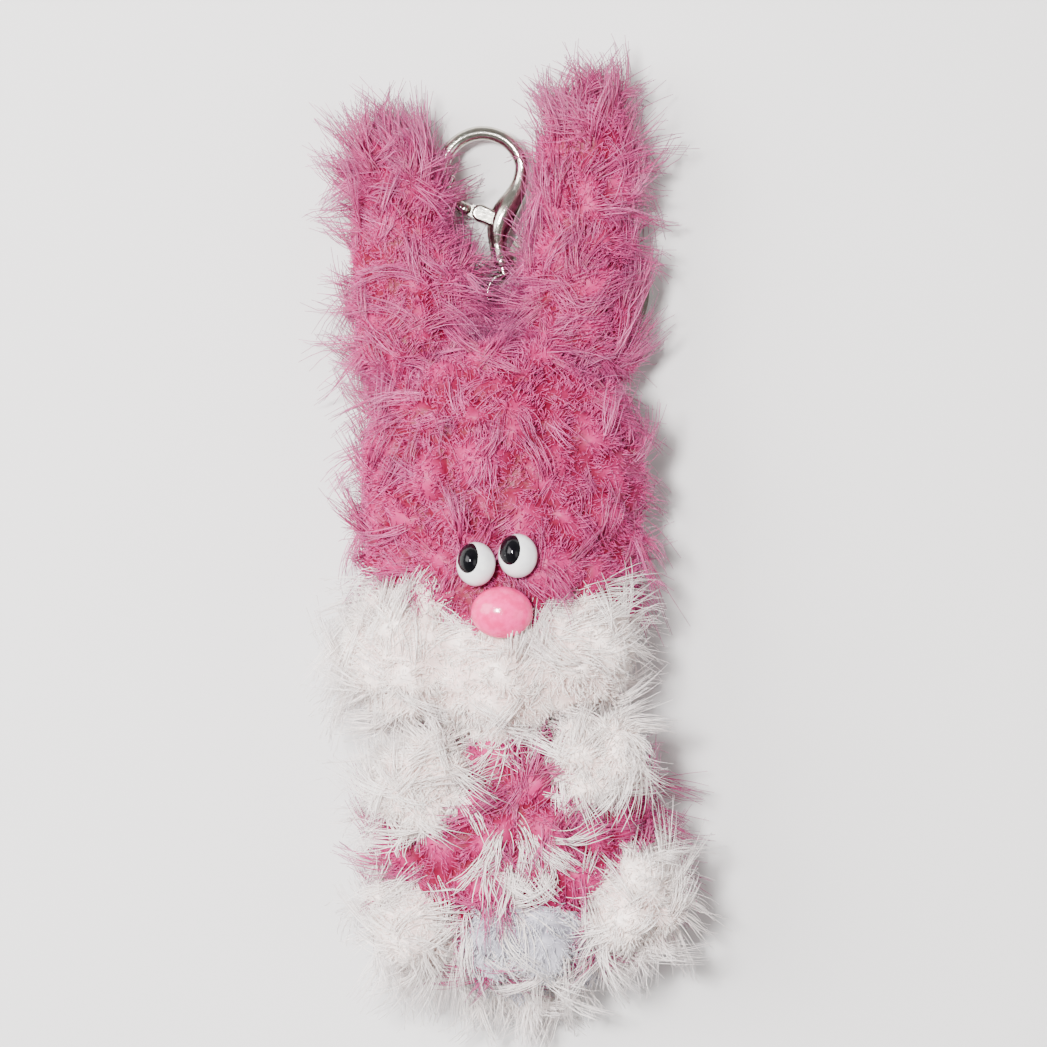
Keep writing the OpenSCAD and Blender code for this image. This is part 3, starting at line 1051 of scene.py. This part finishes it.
@dataclass
class SoftRabbit:
    """Every stuffed piece of the rabbit, from the head down."""

    grower: Grower
    over_face: Grower

    def parts(self) -> list[Plushed]:
        """List the stuffed pieces with their piles.

        Returns:
            The pieces in the order they are made.
        """
        pink, white = (PINK_PLUSH, PINK_FILAMENT, "pink_yarn"), (WHITE_PLUSH, WHITE_FILAMENT, "white_yarn")
        return [
            Plushed(
                SoftForm("head", HEAD_LOOKS), ("head_cover",), "plush", *pink,
                PLUSH.times(1.6), FILAMENT.times(1.4), MUZZLE_BALLS + BODY_BALLS, seed=11,
            ),
            Plushed(
                SoftForm("muzzle", MUZZLE_LOOKS, Joining.GATHERED), ("muzzle_cover",), "plush", *white,
                PLUSH.times(1.1), FILAMENT.times(0.9), seed=12,
                hidden=(Ball((0, -6, 15), (20, 18, 17)),),
            ),
            Plushed(
                SoftForm("body", BODY_BALLS), ("body_cover",), "plush", *pink,
                PLUSH.times(1.0), FILAMENT.times(1.1), HEAD_BALLS + MUZZLE_BALLS, seed=13,
            ),
            *(
                Plushed(
                    SoftForm(name, balls), (node,), "plush", *white, PLUSH.times(plush),
                    FILAMENT.times(loose), seed=seed,
                )
                for name, balls, node, plush, loose, seed in (
                    ("paw_left", LEFT_PAW, "left_paw", 0.36, 0.3, 14),
                    ("paw_right", RIGHT_PAW, "right_paw", 0.33, 0.3, 15),
                    ("foot_left", LEFT_FOOT, "left_foot", 0.36, 0.35, 16),
                    ("foot_right", RIGHT_FOOT, "right_foot", 0.4, 0.4, 17),
                )
            ),
            Plushed(
                SoftForm("tail_puff", TAIL, Joining.GATHERED, inset=0.6), ("tail",), "plush", SHADED_TAIL_PLUSH,
                WHITE_FILAMENT, "white_yarn", PLUSH.times(0.55), FILAMENT.times(0.7), comb=(0, -0.9, 0),
                seed=18,
            ),
            Ear(
                SoftForm("ear_left", LEFT_EAR, lump=2.0),
                ("left_ear",), "left_ear", *pink,
                PLUSH.times(0.8), FILAMENT.times(0.9), HEAD_BALLS, comb=(-0.1, 0.7, 0), seed=19,
                root_low=(-0.0115, 0.0275, 0.0114), root_high=(-0.0135, 0.0375, 0.0114),
            ),
            Ear(
                SoftForm("ear_right", RIGHT_EAR, lump=2.0),
                ("right_ear",), "right_ear", *pink,
                PLUSH.times(0.9), FILAMENT.times(1.0), HEAD_BALLS, comb=(0.05, 0.7, 0), seed=20,
                root_low=(0.0135, 0.0275, 0.0114), root_high=(0.0137, 0.0375, 0.0114),
            ),
        ]

    def accents(self) -> list[Accent]:
        """List the tufts that stand out from the outline.

        Returns:
            The tufts, each with the piece that it grows on.
        """
        pink, white = (PINK_FILAMENT, "pink_yarn"), (WHITE_FILAMENT, "white_yarn")
        rows = (
            ("tuft_brow", "head", (-21, 18, 13), 7, (-3, 0.3, 0), 90, (8, 13), pink, 81),
            ("tuft_cheek", "head", (-22, -2, 15), 7, (-3, 0.4, 0), 80, (7, 11), pink, 82),
            ("tuft_temple", "head", (22, -8, 12), 8, (3, -1.6, 0), 90, (8, 12), pink, 83),
            ("tuft_whisker", "muzzle", (-24, -21, 17), 7, (-3, -1.8, 0), 110, (8, 13), white, 84),
            ("tuft_belly", "body", (3, -51, 33), 6, (0.2, -1, 0), 330, (5, 9), white, 85),
            ("tuft_hip", "body", (24, -48, 12), 10, (2.4, -1.6, 0), 260, (10, 15), pink, 86),
            ("tuft_side", "body", (-20, -48, 14), 9, (-2.4, -1.2, 0), 180, (8, 13), white, 87),
            ("tuft_sole_left", "foot_left", (-14, -69, 16), 8, (-0.5, -3, 0), 170, (9, 14), white, 88),
            ("tuft_sole_right", "foot_right", (22, -66, 16), 8, (0.9, -3, 0), 190, (9, 15), white, 89),
            ("tuft_tail", "tail_puff", (3, -74, 8), 9, (0, -3, 0), 260, (9, 14), white, 90),
            ("tip_left", "ear_left", (-19, 63, 12), 8, (-1.6, 2.2, 0), 240, (8, 13), pink, 91),
            ("tip_left_side", "ear_left", (-24, 54, 12), 8, (-3, 0.8, 0), 170, (8, 12), pink, 92),
            ("tip_right", "ear_right", (12, 70, 12), 9, (-0.4, 3, 0), 330, (8, 12), pink, 93),
            ("brow_wisps", "head", (-1, -0.5, 33), 4.5, (0.2, -2.2, 1.2), 50, (9, 12), pink, 96),
            ("nose_fluff", "muzzle", (4.6, -17.8, 36), 3.6, (-0.8, 1.2, 1.1), 150, (5, 7.5), white, 97),
            ("bib", "muzzle", (2, -33, 25), 7, (0, -2.2, 0), 260, (6, 11), white, 98),
            ("parting", "ear_left", (-6, 34, 12), 9, (2.2, -0.6, 0), 380, (8, 12), pink, 94),
            ("parting_right", "ear_right", (5, 36, 12), 9, (-2.2, -0.4, 0), 320, (7, 11), pink, 95),
        )
        crossing = {"brow_wisps": 1.0, "nose_fluff": 1.2}
        return [
            Accent(
                name, on, spot, reach, comb, count, length, *yarn, seed=seed,
                lift=crossing.get(name, Accent.lift), crossing=name in crossing,
            )
            for name, on, spot, reach, comb, count, length, yarn, seed in rows
        ]

    def build(self) -> None:
        """Make every stuffed piece and the two fillings."""
        owners = {part.form.name: part for part in self.parts()}
        for part in owners.values():
            part.build(self.grower)
        for accent in self.accents():
            accent.build(self.over_face if accent.crossing else self.grower, owners[accent.on])
        for name, balls, node in (
            ("body_wadding", BODY_BALLS, "body_stuffing"), ("head_wadding", HEAD_BALLS, "head_stuffing"),
        ):
            Filling(SoftForm(name, balls, inset=8.5, voxel=1.8, lump=1.4), node).build()


@dataclass
class Face:
    """Eyes, nose and the washers behind them."""

    finishes: tuple[tuple[str, HardFinish], ...] = (
        ("left_eye", EYE_WHITE), ("right_eye", EYE_WHITE), ("left_pupil", PUPIL_BLACK),
        ("right_pupil", PUPIL_BLACK), ("nose", NOSE_PINK), ("left_eye_washer", WASHER_PLASTIC),
        ("right_eye_washer", WASHER_PLASTIC), ("nose_washer", WASHER_PLASTIC),
    )

    def build(self) -> None:
        """Finish the moulded pieces."""
        for node, finish in self.finishes:
            dress_node(node, finish)


@dataclass(frozen=True)
class Bend:
    """One point of a bar's middle line in the clasp's own frame, with the bar's radius, in millimetres."""

    across: float
    along: float
    radius: float


@dataclass
class Clasp:
    """The cast clasp: a lathe-turned neck, a drop-shaped arm that runs into the hook, and a fork."""

    at: Triple = (1.3, 38.7, 5.9)
    tilt: float = 11.9
    hook_middle: float = 20.3
    hook_radius: float = 6.6
    wire: float = 1.15
    hook_end: float = 166.0
    fork_angle: float = 255.0
    neck: tuple[tuple[float, float], ...] = (
        (0.0, 7.12), (1.16, 7.12), (1.16, 6.34), (0.91, 6.34), (0.91, 4.45), (1.62, 4.45), (1.75, 4.62),
        (1.75, 5.9), (1.6, 6.3), (1.45, 6.8), (1.45, 8.2), (1.3, 9.4), (0.8, 10.2), (0.0, 10.4),
    )
    arm: tuple[Bend, ...] = (
        Bend(0.0, 7.6, 1.3), Bend(0.05, 9.0, 1.55), Bend(0.55, 10.9, 1.95), Bend(1.6, 12.6, 2.15),
        Bend(3.0, 14.2, 2.0), Bend(4.55, 15.75, 1.6), Bend(5.75, 17.5, 1.3),
    )

    def frame(self) -> Matrix:
        """The clasp's own frame as a matrix, in metres."""
        turn = Matrix.Rotation(math.radians(self.tilt), 4, "Z")
        return Matrix.Translation(Vector(self.at) * MM) @ turn @ Matrix.Scale(MM, 4)

    def line(self) -> list[Bend]:
        """The middle line from the neck, over the drop and round the hook."""
        turns = np.linspace(-4.0, self.hook_end, 22)
        spots = [
            Bend(
                self.hook_radius * math.cos(math.radians(a)),
                self.hook_middle + self.hook_radius * math.sin(math.radians(a)), self.wire,
            )
            for a in turns
        ]
        return [*self.arm, *spots]

    def casting(self) -> bpy.types.Object:
        """Make the whole casting as one piece.

        Returns:
            The casting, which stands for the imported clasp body.
        """
        form = bmesh.new()
        ring = [form.verts.new((x, y, 0.0)) for x, y in self.neck]
        edges = [form.edges.new(pair) for pair in zip(ring, ring[1:])]
        bmesh.ops.spin(
            form, geom=ring + edges, axis=(0, 1, 0), cent=(0, 0, 0), angle=math.tau, steps=40,
            use_merge=True,
        )
        bmesh.ops.remove_doubles(form, verts=form.verts[:], dist=1e-4)
        a = math.radians(self.fork_angle)
        pivot = (self.hook_radius * math.cos(a), self.hook_middle + self.hook_radius * math.sin(a))
        for side in (-1, 1):
            self._cheek(form, pivot, side * 1.18)
        bar = self._bar()
        form.from_mesh(bar)
        bpy.data.meshes.remove(bar)
        bmesh.ops.recalc_face_normals(form, faces=form.faces[:])
        bmesh.ops.transform(form, matrix=self.frame(), verts=form.verts[:])
        for face in form.faces:
            face.smooth = len(face.verts) < 8
        piece = new_piece("clasp_casting", form)
        return piece

    def _cheek(self, form: bmesh.types.BMesh, pivot: tuple[float, float], level: float) -> None:
        """Add one cheek of the fork, a rounded plate from the arm to the pivot.

        Args:
            form: The casting so far.
            pivot: Where the trigger's pin goes through.
            level: The plate's middle above the clasp's plane.
        """
        plate = bmesh.new()
        for spot, radius in ((pivot, 1.4), ((0.9, 12.0), 1.2)):
            for turn in np.linspace(0, math.tau, 32, endpoint=False):
                for z in (level - 0.42, level + 0.42):
                    x, y = spot[0] + radius * math.cos(turn), spot[1] + radius * math.sin(turn)
                    plate.verts.new((x, y, z))
        bmesh.ops.convex_hull(plate, input=plate.verts[:])
        bmesh.ops.delete(plate, geom=[v for v in plate.verts if not v.link_faces], context="VERTS")
        bmesh.ops.dissolve_limit(plate, angle_limit=0.02, verts=plate.verts[:], edges=plate.edges[:])
        rims = [e for e in plate.edges if e.is_manifold and e.calc_face_angle() > 1.2]
        bmesh.ops.bevel(
            plate, geom=rims, offset=0.38, offset_type="OFFSET", affect="EDGES", segments=5, profile=0.5,
            material=-1,
        )
        part = bpy.data.meshes.new("cheek")
        plate.to_mesh(part)
        plate.free()
        form.from_mesh(part)
        bpy.data.meshes.remove(part)

    def _bar(self) -> bpy.types.Mesh:
        """Sweep the round, tapering bar of arm and hook."""
        curve = bpy.data.curves.new("hook_bar", "CURVE")
        curve.dimensions, curve.bevel_depth, curve.bevel_resolution = "3D", 1.0, 6
        curve.use_fill_caps, curve.resolution_u = True, 6
        line = self.line()
        last, before = line[-1], line[-2]
        way = Vector((last.across - before.across, last.along - before.along)).normalized()
        line += [
            Bend(last.across + way.x * s, last.along + way.y * s, self.wire * r)
            for s, r in ((0.45, 0.9), (0.8, 0.66), (0.98, 0.3))
        ]
        spline = curve.splines.new("NURBS")
        spline.points.add(len(line) - 1)
        for point, bend in zip(spline.points, line):
            point.co, point.radius = (bend.across, bend.along, 0.0, 1.0), bend.radius
        spline.use_endpoint_u, spline.order_u = True, 4
        mesh = mesh_of(curve)
        closed = bmesh.new()
        closed.from_mesh(mesh)
        bmesh.ops.remove_doubles(closed, verts=closed.verts[:], dist=1e-4)
        closed.to_mesh(mesh)
        closed.free()
        return mesh


@dataclass
class YarnLoop:
    """The hanging loop: two plies of yarn twisted round each other, sewn through the head."""

    across: float = 3.1
    near: float = 24.0
    far: float = 34.6
    middle: float = 4.5
    radius: float = 3.6
    ply: float = 0.43
    offset: float = 0.3
    twists: int = 17
    points: int = 300

    def centre_line(self) -> tuple[np.ndarray, np.ndarray]:
        """Points round the loop and its outward direction at each, in millimetres."""
        straight, bend = self.far - self.near, math.pi * self.radius
        run = np.linspace(0, 2 * (straight + bend), self.points, endpoint=False)
        at, out = [], []
        for s in run:
            half, rest = divmod(s, straight + bend)
            sign = 1.0 if half == 0 else -1.0
            if rest < straight:
                y = self.near + rest if half == 0 else self.far - rest
                way = Vector((0.0, 0.0, -sign))
                at.append((self.across, y, self.middle - sign * self.radius))
            else:
                a = (rest - straight) / self.radius
                way = Vector((0.0, sign * math.sin(a), -sign * math.cos(a)))
                centre = self.far if half == 0 else self.near
                at.append((self.across, centre + way.y * self.radius, self.middle + way.z * self.radius))
            out.append(tuple(way))
        return np.array(at), np.array(out)

    def build(self) -> None:
        """Twist the two plies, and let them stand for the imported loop."""
        at, out = self.centre_line()
        turn = np.linspace(0, math.tau * self.twists, self.points, endpoint=False)
        curve = bpy.data.curves.new("yarn_loop", "CURVE")
        curve.dimensions, curve.bevel_depth, curve.bevel_resolution = "3D", self.ply * MM, 2
        sideways = np.array([1.0, 0.0, 0.0])
        for phase in (0.0, math.pi):
            swing = np.cos(turn + phase)[:, None] * out + np.sin(turn + phase)[:, None] * sideways
            spline = curve.splines.new("POLY")
            spline.points.add(self.points - 1)
            rows = np.ones((self.points, 4))
            rows[:, :3] = (at + swing * self.offset) * MM
            spline.points.foreach_set("co", rows.ravel())
            spline.use_cyclic_u = True
        mesh = mesh_of(curve)
        form = bmesh.new()
        form.from_mesh(mesh)
        bmesh.ops.remove_doubles(form, verts=form.verts[:], dist=1e-8)
        bmesh.ops.recalc_face_normals(form, faces=form.faces[:])
        bpy.data.meshes.remove(mesh)
        piece = new_piece("yarn_loop", form)
        piece.data.shade_smooth()
        count = len(piece.data.vertices)
        set_strand(piece.data, 0.35 + 0.25 * np.sin(np.arange(count) * 0.37), np.full(count, 0.5))
        dress(piece, LOOP_YARN)
        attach(piece, "plush")
        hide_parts("hanging_loop")


@dataclass
class Hardware:
    """Hanging loop, split ring and swivel snap clasp."""

    plated: tuple[str, ...] = ("key_ring", "swivel_eye", "clasp_trigger", "trigger_pin")

    def build(self) -> None:
        """Make the loop and the casting, and finish the other plated pieces and the spring."""
        for node in self.plated:
            dress_node(node, NICKEL)
        dress_node("trigger_spring", SPRING_STEEL)
        YarnLoop().build()
        casting = Clasp().casting()
        dress(casting, NICKEL)
        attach(casting, "clasp")
        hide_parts("clasp_body")


@dataclass
class Studio:
    """Pale floor, soft lights and the camera above."""

    camera_at: Triple = (0.0038, 0.0011, 0.75)
    view_width: float = 0.1696
    floor_width: float = 2.4
    floor_tone: Colour = tone(226, 223, 222)

    def build(self) -> None:
        """Set up floor, lights, surroundings and camera."""
        self._floor()
        self._light("key", (-0.17, 0.09, 0.80), 0.10, 17.0)
        self._light("soft_left", (-0.75, 0.25, 0.70), 0.7, 15.0)
        self._light("soft_right", (0.8, -0.2, 0.75), 0.7, 3.4)
        self._surroundings()
        self._camera()

    def _floor(self) -> None:
        """Lay the floor, a wide sheet with a faint grain."""
        form = bmesh.new()
        bmesh.ops.create_grid(form, x_segments=4, y_segments=4, size=self.floor_width / 2)
        floor = new_piece("floor", form)
        paper = bpy.data.materials.new("floor_paper")
        paper.use_nodes = True
        s = NodeSheet(paper.node_tree)
        shader = paper.node_tree.nodes["Principled BSDF"]
        where = s.add("ShaderNodeTexCoord").outputs["Object"]
        low = tuple(c * 0.97 for c in self.floor_tone[:3]) + (1.0,)
        s.join(s.blend(s.noise(30.0, 2.0, where), low, self.floor_tone), shader.inputs["Base Color"])
        shader.inputs["Roughness"].default_value = 0.75
        floor.data.materials.append(paper)

    def _light(self, name: str, at: Triple, size: float, power: float) -> None:
        """Hang one square area light that faces the rabbit.

        Args:
            name: The light's name.
            at: Where it hangs.
            size: Its side.
            power: Its power in watts.
        """
        lamp = bpy.data.lights.new(name, "AREA")
        lamp.energy, lamp.size = power, size
        holder = bpy.data.objects.new(name, lamp)
        holder.location = at
        aim = Vector((0.0, 0.0, 0.01)) - Vector(at)
        holder.rotation_euler = aim.to_track_quat("-Z", "Y").to_euler()
        bpy.context.scene.collection.objects.link(holder)

    def _surroundings(self) -> None:
        """Give the room an even pale light, darker overhead for the metal to mirror."""
        world = bpy.data.worlds.new("room")
        world.use_nodes = True
        bpy.context.scene.world = world
        s = NodeSheet(world.node_tree)
        back = world.node_tree.nodes["Background"]
        split = s.add("ShaderNodeSeparateXYZ")
        s.join(s.add("ShaderNodeTexCoord").outputs["Generated"], split.inputs[0])
        height = s.remap(split.outputs[2], 0.1, 0.95, 0.0, 1.0)
        s.join(s.blend(height, (0.92, 0.91, 0.9, 1.0), (0.36, 0.35, 0.34, 1.0)), back.inputs["Color"])
        back.inputs["Strength"].default_value = 0.6

    def _camera(self) -> None:
        """Hold the camera straight above, framed to the given width on the floor's level."""
        lens = bpy.data.cameras.new("camera")
        lens.sensor_width = 36.0
        lens.lens = 36.0 * (self.camera_at[2] - 0.015) / self.view_width
        lens.clip_start = 0.01
        camera = bpy.data.objects.new("camera", lens)
        camera.location = self.camera_at
        bpy.context.scene.collection.objects.link(camera)
        bpy.context.scene.camera = camera


def main() -> None:
    """Build the rabbit from its soft pieces to its hardware, then the studio."""
    logging.basicConfig(level=logging.INFO, format="%(name)s %(relativeCreated)d %(message)s")
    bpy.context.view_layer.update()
    Studio().build()
    room = Room(["left_eye", "right_eye", "nose"])
    SoftRabbit(Grower(room), Grower(Room([]))).build()
    Face().build()
    Hardware().build()


if __name__ == "__main__":
    main()
